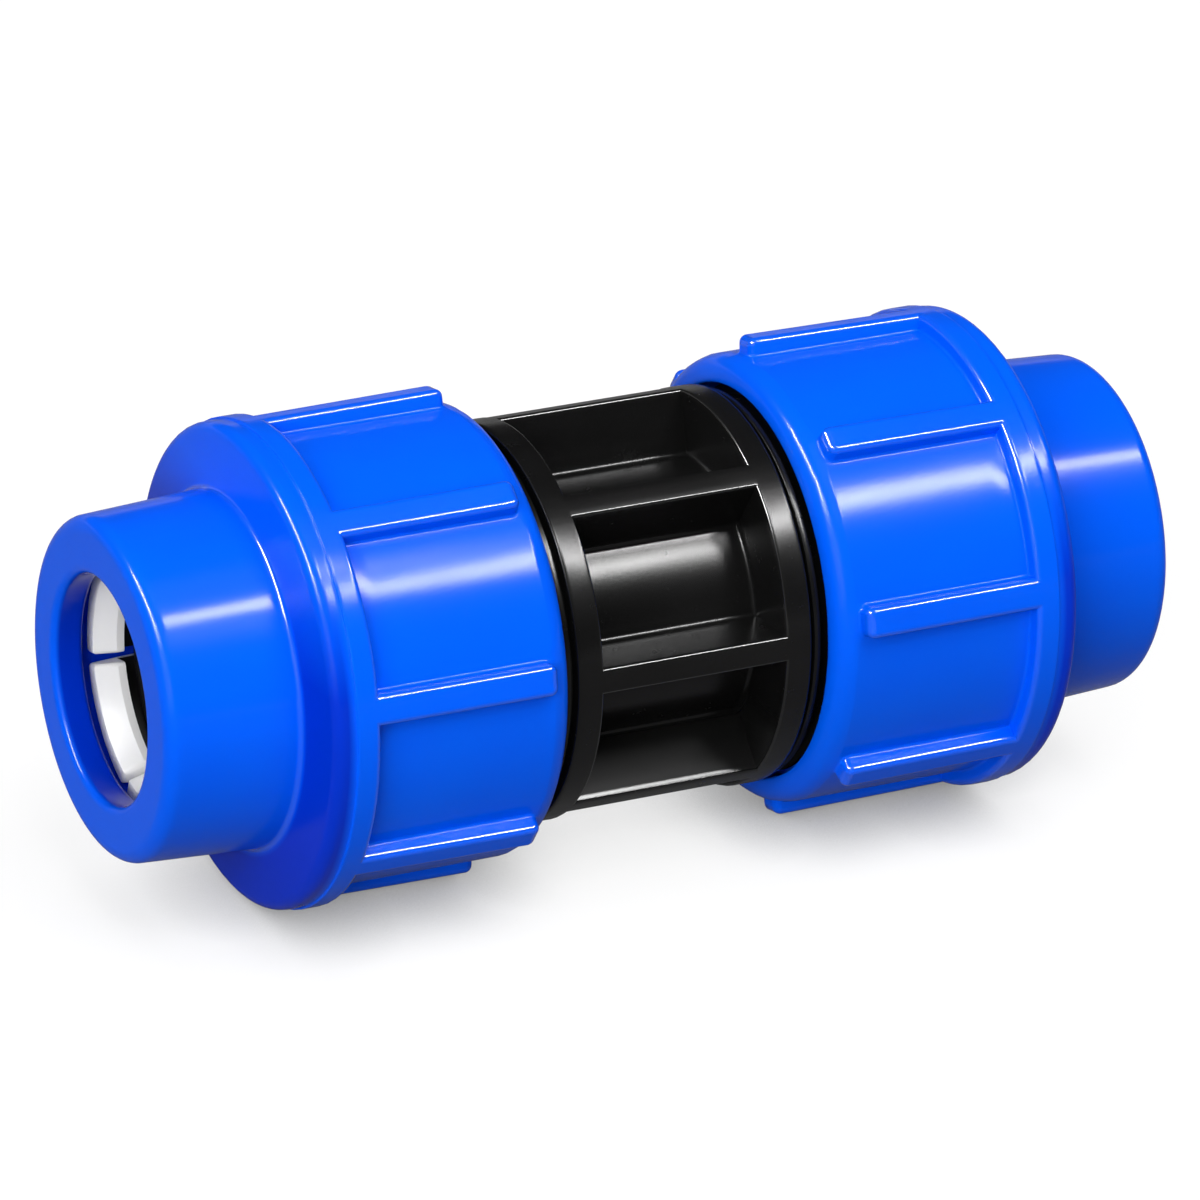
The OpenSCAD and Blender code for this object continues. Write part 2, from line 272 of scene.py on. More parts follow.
class StudioSizes(bpy.types.PropertyGroup):
    """The camera, and how brightly floor and backdrop shine"""

    azimuth: angle("Azimuth", "Camera's bearing; 0 looks along +Y", -27.231)
    elevation: angle("Elevation", "Camera's height above the horizon", 26.724)
    roll: angle("Roll", "Camera's turn about its own line of sight", 3.183)
    distance: length("Distance", "From the camera to the coupling's middle", 976.2 * MM)
    shift_right: FloatProperty(name="Shift right", description="Coupling's middle right of the sight line",
                               default=0.638 * MM, unit="LENGTH", precision=5)
    shift_up: FloatProperty(name="Shift up", description="Coupling's middle above the sight line",
                            default=-0.311 * MM, unit="LENGTH", precision=5)
    lens: FloatProperty(name="Lens", description="Focal length on a 36 mm sensor, in millimetres",
                        default=266.47)
    floor_glow: FloatProperty(name="Floor glow", description="How far the camera sees the floor lifted",
                              default=0.83, min=0.0, max=1.0)
    ambient: FloatProperty(name="Ambient", description="Strength of the light from all round", default=0.35,
                           min=0.0, max=1.0)


class CouplingSettings(bpy.types.PropertyGroup):
    """Everything that can be changed"""

    nut: PointerProperty(type=NutSizes, name="Nut", description="Sizes of the nuts")
    body: PointerProperty(type=BodySizes, name="Body", description="Sizes of the body")
    thread: PointerProperty(type=ThreadSizes, name="Thread", description="Sizes of the thread")
    ring: PointerProperty(type=RingSizes, name="Grip ring", description="Sizes of the grip rings")
    bush: PointerProperty(type=BushSizes, name="Bush", description="Sizes of the bushes")
    colours: PointerProperty(type=Colours, name="Colours", description="Colours of the plastics")
    studio: PointerProperty(type=StudioSizes, name="Studio", description="Camera and background")


# Node trees

class Wire:
    """An output socket. Python's operators on it add Math nodes."""

    def __init__(self, graph, socket):
        self.graph = graph
        self.socket = socket

    def math(self, operation, *others, **settings):
        return self.graph.add("ShaderNodeMath", {"operation": operation, **settings},
                              dict(enumerate((self, *others))))

    def __add__(self, other):
        return self.math("ADD", other)

    def __sub__(self, other):
        return self.math("SUBTRACT", other)

    def __mul__(self, other):
        return self.math("MULTIPLY", other)

    def __truediv__(self, other):
        return self.math("DIVIDE", other)

    def __rsub__(self, other):
        return self.math("MULTIPLY_ADD", -1.0, other)

    __radd__ = __add__
    __rmul__ = __mul__

    def clamped(self):
        return self.math("ADD", 0.0, use_clamp=True)

    def rising(self, start, width):
        """0 below start and 1 a width above it."""
        return ((self - start) / width).clamped()

    def falling(self, end, width):
        """1 a width below end and 0 above it."""
        return ((end - self) / width).clamped()


class Graph:
    """A node tree that is built by one method"""

    def __init__(self, tree):
        self.tree = tree
        tree.nodes.clear()

    def add(self, kind, settings=None, inputs=None, output=0):
        """Adds a node: its settings first, then its sockets' values or links. Gives one of its outputs."""
        node = self.tree.nodes.new(kind)
        for name, value in (settings or {}).items():
            setattr(node, name, value)
        for key, value in (inputs or {}).items():
            socket = self.find(node.inputs, key)
            if isinstance(value, Wire):
                self.tree.links.new(value.socket, socket)
            else:
                socket.default_value = value
        return Wire(self, self.find(node.outputs, output)) if len(node.outputs) else node

    def find(self, sockets, key):
        if isinstance(key, int):
            return sockets[key]
        same = [s for s in sockets if s.identifier == key]
        return same[0] if same else sockets[key]

    def mix(self, share, first, second):
        """A colour between two others."""
        return self.add("ShaderNodeMix", {"data_type": "RGBA"},
                        {"Factor_Float": share, "A_Color": first, "B_Color": second}, "Result_Color")


def new_geometry_graph(name, inputs):
    """A geometry tree with named inputs, which are pairs of a name and a socket type."""
    tree = bpy.data.node_groups.new(name, "GeometryNodeTree")
    for title, kind in inputs:
        tree.interface.new_socket(name=title, in_out="INPUT", socket_type=kind)
    tree.interface.new_socket(name="Geometry", in_out="OUTPUT", socket_type="NodeSocketGeometry")
    graph = Graph(tree)
    entry = tree.nodes.new("NodeGroupInput")
    return graph, {title: Wire(graph, entry.outputs[title]) for title, _ in inputs}


def round_the_axis():
    """The tree that repeats one sector round the pipes' axis and joins the copies into one skin."""
    graph, given = new_geometry_graph("round_the_axis", [
        ("Sector", "NodeSocketGeometry"),
        ("Count", "NodeSocketInt"),
        ("First Turn", "NodeSocketFloat"),
        ("Finish", "NodeSocketMaterial"),
    ])
    points = graph.add("GeometryNodeMeshLine", {"mode": "OFFSET"},
                       {"Count": given["Count"], "Offset": (0.0, 0.0, 0.0)})
    index = graph.add("GeometryNodeInputIndex")
    turn = index * math.tau / given["Count"] + given["First Turn"]
    euler = graph.add("ShaderNodeCombineXYZ", None, {"X": turn})
    rotation = graph.add("FunctionNodeEulerToRotation", None, {"Euler": euler})
    copies = graph.add("GeometryNodeInstanceOnPoints", None,
                       {"Points": points, "Instance": given["Sector"], "Rotation": rotation})
    real = graph.add("GeometryNodeRealizeInstances", None, {"Geometry": copies})
    whole = graph.add("GeometryNodeMergeByDistance", None, {"Geometry": real, "Distance": WELD})
    finished = graph.add("GeometryNodeSetMaterial", None, {"Geometry": whole, "Material": given["Finish"]})
    graph.add("NodeGroupOutput", None, {"Geometry": finished})
    return graph.tree


def screw_thread():
    """The tree that winds a bevelled ridge round the axis and tapers both its ends away."""
    graph, given = new_geometry_graph("screw_thread", [
        ("Blank", "NodeSocketGeometry"),
        ("Start", "NodeSocketFloat"),
        ("Turns", "NodeSocketFloat"),
        ("Pitch", "NodeSocketFloat"),
        ("Root Radius", "NodeSocketFloat"),
        ("Outward", "NodeSocketFloat"),
        ("Height", "NodeSocketFloat"),
        ("Foot", "NodeSocketFloat"),
        ("Crest", "NodeSocketFloat"),
        ("Bevel", "NodeSocketFloat"),
        ("First Turn", "NodeSocketFloat"),
        ("Side", "NodeSocketFloat"),
        ("Finish", "NodeSocketMaterial"),
    ])
    corners = 6
    sink = 0.15 * MM
    taper_in = 0.25
    taper_out = 0.4
    grid = graph.add("GeometryNodeMeshGrid", None,
                     {"Size X": 1.0, "Size Y": 1.0, "Vertices X": THREAD_ROWS, "Vertices Y": corners + 1})
    position = graph.add("GeometryNodeInputPosition")
    axes = {name: graph.add("ShaderNodeSeparateXYZ", None, {"Vector": position}, name) for name in "XY"}
    along = axes["X"] + 0.5
    around = (axes["Y"] + 0.5) * corners
    ramps = [(around - i).clamped() for i in range(corners)]
    bevel = given["Bevel"]
    lean = (given["Foot"] - given["Crest"]) * 0.5
    flank = given["Height"] - bevel + sink
    across = given["Foot"] * -0.5 + lean * (ramps[0] + ramps[4]) + bevel * (ramps[1] + ramps[3])
    across = across + (given["Crest"] - bevel * 2.0) * ramps[2] - given["Foot"] * ramps[5]
    reach = flank * (ramps[0] - ramps[4]) + bevel * (ramps[1] - ramps[3])
    wound = along * given["Turns"]
    left = (1.0 - along) * given["Turns"]
    fade = (wound / taper_in).clamped() * (left / taper_out).clamped()
    place = given["Start"] + wound * given["Pitch"] + across * fade
    radius = given["Root Radius"] + given["Outward"] * (reach * fade - sink)
    turn = given["First Turn"] + wound * math.tau * given["Side"]
    spot = graph.add("ShaderNodeCombineXYZ", None, {
        "X": place * given["Side"],
        "Y": radius * turn.math("SINE") * -1.0,
        "Z": radius * turn.math("COSINE"),
    })
    wound_up = graph.add("GeometryNodeSetPosition", None, {"Geometry": grid, "Position": spot})
    welded = graph.add("GeometryNodeMergeByDistance", None, {"Geometry": wound_up, "Distance": WELD})
    real = graph.add("GeometryNodeRealizeInstances", None, {"Geometry": welded})
    finished = graph.add("GeometryNodeSetMaterial", None, {"Geometry": real, "Material": given["Finish"]})
    graph.add("NodeGroupOutput", None, {"Geometry": finished})
    return graph.tree


# Meshes

def new_piece(name, mesh):
    piece = bpy.data.objects.new(name, mesh)
    bpy.context.scene.collection.objects.link(piece)
    return piece


def settle(piece, crease_degrees=40.0):
    """Turns what the modifiers make into the piece's own mesh, with faces outward and crisp edges."""
    bpy.context.view_layer.update()
    graph = bpy.context.evaluated_depsgraph_get()
    mesh = bpy.data.meshes.new_from_object(piece.evaluated_get(graph))
    mesh.name = piece.name
    piece.modifiers.clear()
    piece.data = mesh
    shape = bmesh.new()
    shape.from_mesh(mesh)
    bmesh.ops.remove_doubles(shape, verts=shape.verts, dist=WELD)
    bmesh.ops.dissolve_degenerate(shape, edges=shape.edges, dist=WELD)
    bmesh.ops.recalc_face_normals(shape, faces=shape.faces)
    for face in shape.faces:
        face.smooth = True
    shape.to_mesh(mesh)
    shape.free()
    mesh.set_sharp_from_angle(angle=math.radians(crease_degrees))
    return piece


def run_tree(piece, tree, values):
    """Runs a geometry tree on a piece, with the values of its named inputs."""
    modifier = piece.modifiers.new(tree.name, "NODES")
    modifier.node_group = tree
    for item in tree.interface.items_tree:
        if item.in_out == "INPUT" and item.name in values:
            modifier[item.identifier] = values[item.name]
    return settle(piece)


def corner(before, at, after, radius):
    """Points of the arc that rounds one corner of an outline."""
    before, at, after = Vector(before), Vector(at), Vector(after)
    back = (before - at).normalized()
    on = (after - at).normalized()
    half = back.angle(on) / 2
    reach = min(radius / math.tan(half), 0.48 * min((before - at).length, (after - at).length))
    radius = reach * math.tan(half)
    middle = at + (back + on).normalized() * radius / math.sin(half)
    start = at + back * reach - middle
    end = at + on * reach - middle
    first = math.atan2(start.y, start.x)
    sweep = (math.atan2(end.y, end.x) - first + 3 * math.pi) % math.tau - math.pi
    steps = 3 if radius < SMALL_ROUND else 5 if radius < MIDDLE_ROUND else 9
    return [
        (middle.x + radius * math.cos(first + sweep * i / steps),
         middle.y + radius * math.sin(first + sweep * i / steps))
        for i in range(steps + 1)
    ]


def outline(corners):
    """Points of an open outline from (place, radius, rounding) corners, with guards beside roundings."""
    spots = [spot[:2] for spot in corners]
    points = [spots[0]]
    for i in range(1, len(corners) - 1):
        rounding = corners[i][2]
        points += corner(spots[i - 1], spots[i], spots[i + 1], rounding) if rounding else [spots[i]]
    points.append(spots[-1])
    guarded = [points[0]]
    for before, after in zip(points, points[1:]):
        before, after = Vector(before), Vector(after)
        run = (after - before).length
        if run > 4 * GUARD:
            step = (after - before) / run * GUARD
            guarded += [tuple(before + step), tuple(after - step)]
        guarded.append(tuple(after))
    return guarded


class Relief:
    """Straight-sided raised ribs and collars: the levels across their edge, and how deep each lies."""

    def __init__(self, sizes):
        self.half = sizes.rib_width / 2
        self.edge = sizes.edge
        self.draft = sizes.wall_draft
        self.root = sizes.root
        quarter = [math.radians(a) for a in QUARTER]
        self.levels = [-self.edge] + [self.edge * (math.sin(a) - 1) for a in quarter]
        self.levels += [self.draft * share for share in (*WALL_GUARDS, 1.0)]
        self.levels += [self.draft + self.root * (1 - math.cos(a)) for a in quarter]
        self.foot = self.levels[-1]

    def drop(self, out, depth, edge=None):
        """How far below the top a point lies that is this far out from the wall's upper edge."""
        edge = edge or self.edge
        if out <= -edge:
            return 0.0
        if out < 0:
            return edge - math.sqrt(edge ** 2 - (out + edge) ** 2)
        if out < self.draft:
            return edge + (depth - edge - self.root) * out / self.draft
        if out < self.foot:
            return depth - self.root + math.sqrt(self.root ** 2 - (self.foot - out) ** 2)
        return depth

    def shine(self, out, edge=None):
        """1 on the rounded edge, which the mould leaves glossier."""
        return 1.0 if -0.9 * (edge or self.edge) < out < 0.001 * MM else 0.0


class Sector:
    """Columns of one sector: level lines beside the rib in its middle, then shares of the panel."""

    def __init__(self, count, levels, shares):
        self.half = math.pi / count
        self.wide = levels[-1]
        right = [(level, 0.0) for level in levels] + [(self.wide, share) for share in shares]
        self.columns = [(-1, *column) for column in reversed(right[1:])]
        self.columns += [(1, *column) for column in right]

    def turn(self, column, radius):
        """The column's angle from the middle of the rib, at a radius."""
        sign, level, share = column
        own = math.asin(level / radius)
        return sign * (own + share * (self.half - own))


def sector_mesh(name, sector, rows, spot, side):
    """A sector's skin: a closed loop of rows, each across all its columns.

    spot gives a point's three coordinates, its level on the relief, and its shine.
    """
    shape = bmesh.new()
    polish = shape.verts.layers.float.new("shine")
    grid, levels = [], []
    for row in rows:
        spots = [spot(row, column) for column in sector.columns]
        grid.append([shape.verts.new((side * x, y, z)) for x, y, z, _, _ in spots])
        levels.append([level for _, _, _, level, _ in spots])
        for vert, (_, _, _, _, shine) in zip(grid[-1], spots):
            vert[polish] = shine
    count = len(rows)
    for i in range(count):
        j = (i + 1) % count
        for k in range(len(sector.columns) - 1):
            corners = [(i, k), (i, k + 1), (j, k + 1), (j, k)]
            verts = [grid[a][b] for a, b in corners]
            one, two, three, four = (levels[a][b] for a, b in corners)
            if abs(two - four) < 1e-9 < abs(one - three):
                shape.faces.new((verts[0], verts[1], verts[2]))
                shape.faces.new((verts[0], verts[2], verts[3]))
            elif abs(one - three) < 1e-9 < abs(two - four):
                shape.faces.new((verts[0], verts[1], verts[3]))
                shape.faces.new((verts[1], verts[2], verts[3]))
            else:
                shape.faces.new(verts)
    mesh = bpy.data.meshes.new(name)
    shape.to_mesh(mesh)
    shape.free()
    return mesh


def span(start, end, count):
    """Evenly spaced values after start and before end."""
    return [start + (end - start) * i / (count + 1) for i in range(1, count + 1)]


def nut_sector(nut, side):
    """One eighth of a nut: skirt, rib and collar outside, then dome, nose, mouth, cone, floor and bore."""
    relief = Relief(nut)
    within = [-nut.rib_corner, -(nut.rib_corner + nut.edge) / 2]
    steps = within + relief.levels
    levels = [0.0, nut.rib_width / 8] + [relief.half + step for step in steps]
    sector = Sector(nut.ribs, levels, (0.08, 0.2, 0.42, 0.7, 1.0))
    fan_y = relief.half - nut.rib_corner
    fan_place = nut.rib_start + nut.rib_corner
    fan_full = nut.rib_corner + relief.foot
    fan_end = fan_place - nut.skirt_start - 0.4 * MM
    near_root = 0.5 * MM

    def skirt(place):
        """Radius of the skirt, which falls away over the lip."""
        into = nut.skirt_start + nut.lip - place
        if into <= 0:
            return nut.skirt_radius
        return nut.skirt_radius - nut.lip + math.sqrt(max(0.0, nut.lip ** 2 - into ** 2))

    def soften(place, y):
        """Bends the level lines round the rib's free end into a rounded corner, with softer edges."""
        a, b = abs(y) - fan_y, fan_place - place
        far = max(a, b)
        if a <= 0 or b <= 0 or far >= fan_end:
            return place, y, nut.rib_corner if b > 0 else nut.edge
        turn = math.pi / 4 * (b / a) if a > b else math.pi / 2 - math.pi / 4 * (a / b)
        square = min(1.0, max(0.0, (far - fan_full) / (fan_end - fan_full)))
        a += (far * math.cos(turn) - a) * (1 - square)
        b += (far * math.sin(turn) - b) * (1 - square)
        edge = nut.edge + (nut.rib_corner - nut.edge) * turn / (math.pi / 2)
        return fan_place - b, math.copysign(fan_y + a, y), edge

    def spot(row, column):
        place, radius, raised = row
        turn = sector.turn(column, radius)
        if not raised:
            root = abs(place - nut.nose_start) < near_root and radius < nut.nose_root + near_root
            return place, radius * math.sin(turn), radius * math.cos(turn), 0.0, float(root)
        a, b = abs(radius * math.sin(turn)) - relief.half, nut.rib_start - place
        out = min(max(a, b), nut.collar_start - place, relief.foot)
        place, y, edge = soften(place, radius * math.sin(turn))
        base = skirt(place)
        if column[2] > 0:
            turn = math.asin(y / base)
            height = nut.collar_radius - relief.drop(out, nut.collar_radius - base, edge)
            return place, height * math.sin(turn), height * math.cos(turn), out, relief.shine(out, edge)
        ease = min(1.0, max(0.0, (place - nut.rib_start) / (nut.collar_start - nut.rib_start)))
        top = nut.rib_top + (math.sqrt(nut.collar_radius ** 2 - y ** 2) - nut.rib_top) * ease
        low = math.sqrt(base ** 2 - y ** 2)
        height = top - relief.drop(out, top - low, edge)
        return place, y, height, max(out, -nut.rib_corner), relief.shine(out, edge)

    places = [nut.skirt_start + nut.lip * (1 - math.cos(math.radians(a))) for a in range(0, 61, 15)]
    places += [nut.rib_start - step for step in reversed(steps)]
    places += span(fan_place, nut.collar_start - relief.foot, 9)
    places += [nut.collar_start - step for step in reversed(relief.levels)]
    rows = [(place, skirt(place), True) for place in places]
    section = outline([
        (nut.collar_start + nut.edge, nut.collar_radius, 0),
        (nut.collar_end, nut.collar_radius, nut.step_round),
        (nut.collar_end, nut.collar_radius - nut.step, nut.step_round),
        (nut.nose_start - nut.dome_fall, nut.collar_radius - nut.step, nut.dome),
        (nut.nose_start, nut.nose_root, nut.nose_fillet),
        (nut.nose_end, nut.nose_tip, nut.nose_round),
        (nut.nose_end, nut.mouth_radius, nut.mouth_round),
        (nut.mouth_back, nut.mouth_radius, nut.edge),
        (nut.mouth_back, nut.cone_front, nut.edge),
        (nut.floor, nut.cone_back, nut.edge),
        (nut.floor, nut.bore, nut.mouth_round),
        (nut.skirt_start, nut.bore, nut.edge),
        (nut.skirt_start, nut.skirt_radius - nut.lip, 0),
    ])
    rows += [(place, radius, False) for place, radius in section[1:-1]]
    return sector_mesh("nut_sector", sector, rows, spot, side)


def body_sector(body):
    """One seventh of the body: a rib and half a pocket at each side of it, flanges, spigots and sockets."""
    relief = Relief(body)
    levels = [0.0, body.rib_width / 6] + [relief.half + step for step in relief.levels]
    sector = Sector(body.ribs, levels, (0.12, 0.35, 0.65, 1.0))

    def spot(row, column):
        place, radius, raised = row
        turn = sector.turn(column, radius)
        if not raised:
            return place, radius * math.sin(turn), radius * math.cos(turn), 0.0, 0.0
        y = radius * math.sin(turn)
        out = min(abs(y) - relief.half, body.flange_start - abs(place))
        out = min(max(out, -body.edge), relief.foot)
        if column[2] > 0:
            height = body.flange_radius - relief.drop(out, body.flange_radius - radius)
            return place, height * math.sin(turn), height * math.cos(turn), out, relief.shine(out)
        top = math.sqrt(body.flange_radius ** 2 - y ** 2)
        low = math.sqrt(radius ** 2 - y ** 2)
        return place, y, top - relief.drop(out, top - low), out, relief.shine(out)

    half = outline([
        (body.flange_start + body.edge, body.flange_radius, 0),
        (body.flange_end, body.flange_radius, body.edge),
        (body.flange_end, body.groove_radius, body.groove_round),
        (body.groove_end, body.groove_radius, body.groove_round),
        (body.groove_end, body.shoulder_radius, body.shoulder_round),
        (body.shoulder_end, body.shoulder_radius, body.edge),
        (body.shoulder_end, body.spigot_radius, body.edge),
        (body.spigot_end, body.spigot_radius, body.spigot_round),
        (body.spigot_end, body.chamber_radius, body.edge),
        (body.chamber_start, body.chamber_radius, body.edge),
        (body.chamber_start, body.socket_radius, body.edge),
        (body.stop_end, body.socket_radius, body.edge),
        (body.stop_end, body.stop_radius, body.edge),
        (0.0, body.stop_radius, 0),
    ])[1:]
    near = [body.flange_start - step for step in relief.levels]
    inner = [-place for place in near] + span(-near[-1], near[-1], 7) + list(reversed(near))
    rows = [(place, body.core_radius, True) for place in inner]
    rows += [(place, radius, False) for place, radius in half]
    rows += [(-place, radius, False) for place, radius in reversed(half[:-1])]
    return sector_mesh("body_sector", sector, rows, spot, 1)


def bush_sector(bush, side):
    """One twelfth of a bush: sleeve, flange, neck, nose and bore."""
    sector = Sector(BUSH_SECTORS, [0.0], (0.25, 0.5, 0.75, 1.0))
    middle = (bush.start + bush.nose_end) / 2
    section = outline([
        (middle, bush.bore, 0),
        (bush.start, bush.bore, bush.edge),
        (bush.start, bush.sleeve_radius, bush.edge),
        (bush.flange_start, bush.sleeve_radius, bush.edge),
        (bush.flange_start, bush.flange_radius, bush.edge),
        (bush.flange_end, bush.flange_radius, bush.edge),
        (bush.flange_end, bush.neck_radius, bush.edge),
        (bush.neck_end, bush.neck_radius, bush.edge),
        (bush.neck_end, bush.nose_radius, bush.edge),
        (bush.nose_end, bush.nose_radius, bush.edge),
        (bush.nose_end, bush.bore, bush.edge),
        (middle, bush.bore, 0),
    ])

    def spot(row, column):
        place, radius = row
        turn = sector.turn(column, radius)
        return place, radius * math.sin(turn), radius * math.cos(turn), 0.0, 0.0

    return sector_mesh("bush_sector", sector, section[:-1], spot, side)


def ring_shape(ring, side):
    """A grip ring with its jaws, slots and web, and with the jaws' edges rounded along the slots."""
    web_front = ring.back + ring.web
    slope = (ring.back_radius - ring.front_radius) / (ring.front - ring.back)
    section = {
        "land_back": (ring.land_back, ring.bite_radius),
        "land_front": (ring.land_front, ring.bite_radius),
        "front_in": (ring.front, ring.bite_radius + ring.bevel_height),
        "front_out": (ring.front, ring.front_radius),
        "web_out": (web_front, ring.back_radius - slope * ring.web),
        "back_out": (ring.back, ring.back_radius),
        "back_in": (ring.back, ring.pocket_radius),
        "web_in": (web_front, ring.pocket_radius),
        "pocket": (ring.land_back, ring.pocket_radius),
    }
    loop = list(section)
    jaw_wall = [name for name in loop if not name.startswith("back")]
    web = ["web_out", "back_out", "back_in", "web_in"]
    rounded = {frozenset(pair) for pair in zip(loop[:4], loop[1:5])}
    shape = bmesh.new()
    jaws = []
    for k in range(ring.jaws):
        columns = [{} for _ in range(JAW_STEPS + 1)]
        for name, (place, radius) in section.items():
            ends = []
            for slot, sign in ((k, 1), (k + 1, -1)):
                width = ring.split_width if slot % ring.jaws == 0 else ring.slot_width
                own = ring.split_turn + slot * math.tau / ring.jaws
                ends.append(own + sign * math.asin(width / 2 / radius))
            for j, column in enumerate(columns):
                turn = ends[0] + (ends[1] - ends[0]) * j / JAW_STEPS
                column[name] = shape.verts.new(
                    (side * place, -radius * math.sin(turn), radius * math.cos(turn)))
        jaws.append(columns)

    def skin(one, two, names):
        """Faces between two columns, along an outline."""
        for a, b in zip(names, names[1:] + names[:1]):
            shape.faces.new((one[a], one[b], two[b], two[a]))

    for k, columns in enumerate(jaws):
        for one, two in zip(columns, columns[1:]):
            skin(one, two, loop)
        following = jaws[(k + 1) % ring.jaws]
        if k + 1 < ring.jaws:
            skin(columns[-1], following[0], web)
    for k, columns in enumerate(jaws):
        for column, through in ((columns[0], k == 0), (columns[-1], k + 1 == ring.jaws)):
            shape.faces.new([column[name] for name in (loop if through else jaw_wall)])
    bmesh.ops.recalc_face_normals(shape, faces=shape.faces)
    names = {vert: name for columns in jaws for column in (columns[0], columns[-1])
             for name, vert in column.items()}
    soft = [edge for edge in shape.edges
            if frozenset(names.get(vert) for vert in edge.verts) in rounded]
    bmesh.ops.bevel(shape, geom=soft, offset=ring.slot_round, offset_type="OFFSET", segments=6, profile=0.5,
                    affect="EDGES", clamp_overlap=True)
    mesh = bpy.data.meshes.new("ring_shape")
    shape.to_mesh(mesh)
    shape.free()
    return mesh


# Finishes

def plastic(name, first, second, roughness, spread, grain, specular=0.5, scuff=0.03, coat=1.0,
            painted_shade=None, dull=None):
    """Moulded plastic: faint flow patches in its colour and gloss, over a fine moulded grain and scuffs.

    spread and scuff say how much patches and scuffs change the roughness, and coat how glossy edges are.
    recess is a colour of painted shade, and dull an added roughness, each with a function that gives its
    share at a place.
    """
    material = bpy.data.materials.new(name)
    material.use_nodes = True
    graph = Graph(material.node_tree)
    place = graph.add("ShaderNodeTexCoord", None, None, "Object")
    patches = graph.add("ShaderNodeTexNoise", None,
                        {"Vector": place, "Scale": PATCHES, "Detail": 3.0, "Roughness": 0.5}, "Fac")
    streaks = graph.add("ShaderNodeMapping", None, {"Vector": place, "Scale": (0.25, 1.0, 1.0)})
    flow = graph.add("ShaderNodeTexNoise", None, {"Vector": streaks, "Scale": FLOW, "Detail": 2.0}, "Fac")
    fine = graph.add("ShaderNodeTexNoise", None,
                     {"Vector": place, "Scale": GRAIN, "Detail": 2.0, "Roughness": 0.6}, "Fac")
    waves = graph.add("ShaderNodeTexNoise", None, {"Vector": place, "Scale": WAVES, "Detail": 1.0}, "Fac")
    scuffs = graph.add("ShaderNodeTexNoise", None,
                       {"Vector": place, "Scale": SCUFFS, "Detail": 6.0, "Roughness": 0.75}, "Fac")
    share = (patches * 1.6 + flow * 0.5 - 0.55).clamped()
    scuffed = ((scuffs - 0.62) * 6.0).clamped()
    base = graph.mix(share, (*first, 1.0), (*second, 1.0))
    # Painted shade: a darker colour mixed in by its share at a place
    if painted_shade:
        tint, depth = painted_shade
        base = graph.mix(depth(graph, place), base, (*tint, 1.0))
    gloss = roughness + (patches - 0.5) * spread + (flow - 0.5) * spread * 0.5 + scuffed * scuff
    if dull:
        more, depth = dull
        gloss = gloss + depth(graph, place) * more
    relief = waves * 0.75 + fine * grain + scuffs * 0.6
    shine = graph.add("ShaderNodeAttribute", {"attribute_name": "shine"}, None, "Fac")
    bump = graph.add("ShaderNodeBump", None,
                     {"Height": relief, "Strength": 0.35, "Distance": RELIEF}, "Normal")
    shader = graph.add("ShaderNodeBsdfPrincipled", None, {
        "Base Color": base,
        "Roughness": gloss,
        "Normal": bump,
        "Specular IOR Level": specular,
        "Coat Weight": shine * coat,
        "Coat Roughness": 0.14,
    })
    graph.add("ShaderNodeOutputMaterial", None, {"Surface": shader})
    return material


def from_the_middle(graph, place):
    """A place's distance from the middle along the axis, its distance from the axis, and its height."""
    x, y, z = (graph.add("ShaderNodeSeparateXYZ", None, {"Vector": place}, axis) for axis in "XYZ")
    return x.math("ABSOLUTE"), (y * y + z * z).math("SQRT"), z


def nut_recess(nut):
    """Share of painted shade, from 0 to 1: darker on the dome's lower side and inside the mouth."""
    def depth(graph, place):
        out, radius, height = from_the_middle(graph, place)
        dome = out.rising(nut.collar_end, MM) * radius.rising(nut.nose_root, MM)
        low = height.falling(20.0 * MM, 12.0 * MM)
        inside = radius.falling(nut.nose_tip - MM, 0.5 * MM)
        mouth = out.falling(nut.nose_end - 0.4 * MM, 0.5 * MM) * inside
        return dome * low + mouth * (1.0 - dome)
    return depth


def pocket_walls(body):
    """1 on the walls of the waist's lower pockets, between the core and the ribs' edges."""
    def depth(graph, place):
        _, radius, height = from_the_middle(graph, place)
        above = radius.rising(body.core_radius + body.root, 0.5 * MM)
        low = height.falling(-6.0 * MM, 3.0 * MM)
        return above * low * radius.falling(body.flange_radius - body.edge, 0.1 * MM)
    return depth


def ring_painted_shade(ring):
    """1 on the wall of the pocket behind a grip ring's land, which is painted dark as shade."""
    def depth(graph, place):
        out, radius, _ = from_the_middle(graph, place)
        behind = out.falling(ring.land_back + 0.1 * MM, 0.1 * MM)
        outward = radius.rising(ring.bite_radius + 0.4 * MM, 0.1 * MM)
        inward = radius.falling(ring.pocket_radius + 0.1 * MM, 0.05 * MM)
        return behind * outward * inward
    return depth


